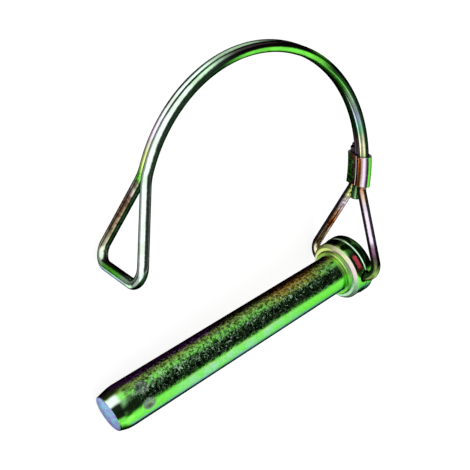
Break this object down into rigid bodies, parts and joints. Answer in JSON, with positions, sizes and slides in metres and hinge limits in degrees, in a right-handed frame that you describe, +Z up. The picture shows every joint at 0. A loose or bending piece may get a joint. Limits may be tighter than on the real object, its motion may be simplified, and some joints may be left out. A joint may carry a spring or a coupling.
{
  "type": "lynch pin",
  "caption": "Headed steel locking pin with a hinged spring-wire bail that arches over the joined tube and catches the pin's tip with a three-cornered loop.",
  "frame": {"origin": "on the pin's axis, at the collar face that bears on the work", "axes": "the part lies on its side as it comes to rest: +X runs from the tip to the head, +Y is the bail's side, +Z is up; the pin's axis dips about 5 degrees towards the tip"},
  "size_m": [0.0862, 0.0722, 0.0233],
  "materials": {
    "plated_pin": "bright yellow zinc plating with green and pink tints, slightly mottled on the shank",
    "plated_wire": "bright yellow zinc plating on drawn spring wire, green and lilac tints",
    "plated_sleeve": "bright yellow zinc plating on thin sheet, brown and lilac tints"
  },
  "bodies": {
    "pin_body": {"pin": "plated_pin"},
    "bail": {"bail_wire": "plated_wire", "crimp_sleeve": "plated_sleeve"}
  },
  "joints": [
    {"name": "bail_hinge", "type": "hinge", "parent": "pin_body", "child": "bail", "pos_m": [0.00408, 0, 0.00039], "axis": [-0.0937, -0.1068, 0.9899], "range_deg": [-215, 20]}
  ]
}
